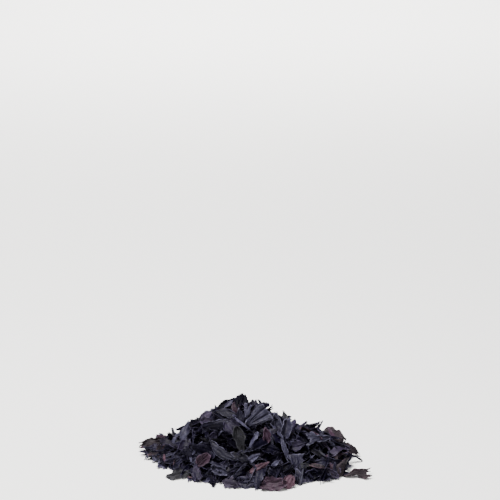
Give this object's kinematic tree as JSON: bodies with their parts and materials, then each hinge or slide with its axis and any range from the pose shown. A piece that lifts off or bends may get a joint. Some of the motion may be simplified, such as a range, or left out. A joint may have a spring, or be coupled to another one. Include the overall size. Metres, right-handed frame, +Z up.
{
  "type": "heap of dried seaweed flakes",
  "caption": "Loose low heap of dried dark red seaweed flakes, torn and curled, as tipped out on a table.",
  "frame": {"origin": "in the flat underside, below the middle of the heap", "axes": "+X to the right along the heap's length as seen from the front, +Y to the back, +Z up"},
  "size_m": [0.1106, 0.0636, 0.032],
  "materials": {
    "slate_weed": "matt, dry, slightly leathery, slate violet",
    "pale_weed": "matt with a soft sheen, pale grey violet",
    "black_weed": "matt, almost black",
    "purple_weed": "matt, dark purple",
    "mauve_weed": "matt, dusty mauve",
    "burgundy_weed": "satin, deep burgundy",
    "rose_weed": "satin, thin and rosy",
    "brown_weed": "matt, brownish grey",
    "olive_weed": "matt, dusty grey green"
  },
  "bodies": {
    "root": {"antler_flake": "pale_weed", "arching_flake": "pale_weed", "bright_chip": "pale_weed", "brow_flake": "slate_weed", "burgundy_leaf": "burgundy_weed", "crescent_leaf": "pale_weed", "curled_ring": "slate_weed", "dark_crown_flake": "black_weed", "dark_oval_leaf": "purple_weed", "dark_peak_flake": "black_weed", "dark_splinter": "black_weed", "flake_bed": "slate_weed", "folded_flake": "pale_weed", "forked_flake": "pale_weed", "frizzled_flake": "pale_weed", "front_left_flake": "mauve_weed", "front_rose_leaf": "rose_weed", "front_slate_leaf": "slate_weed", "green_black_leaf": "black_weed", "green_chip": "olive_weed", "grey_stick": "pale_weed", "hooked_strand": "black_weed", "left_panel": "slate_weed", "left_tip_flake": "brown_weed", "mauve_fold": "mauve_weed", "mauve_low_flake": "mauve_weed", "mauve_tuft": "mauve_weed", "oval_flake": "slate_weed", "pale_leaf": "pale_weed", "pink_sliver": "rose_weed", "pleated_fan": "pale_weed", "purple_shred": "purple_weed", "purple_streak": "purple_weed", "red_tipped_flake": "brown_weed", "ribbed_leaf": "olive_weed", "ridge_flake": "black_weed", "right_shoulder_flake": "brown_weed", "right_tip_flake": "brown_weed", "rose_leaf": "rose_weed", "s_blade": "pale_weed", "spiked_left_flake": "brown_weed", "streaked_flake": "slate_weed", "tall_dusty_flake": "olive_weed", "v_leaf": "pale_weed"}
  },
  "joints": []
}
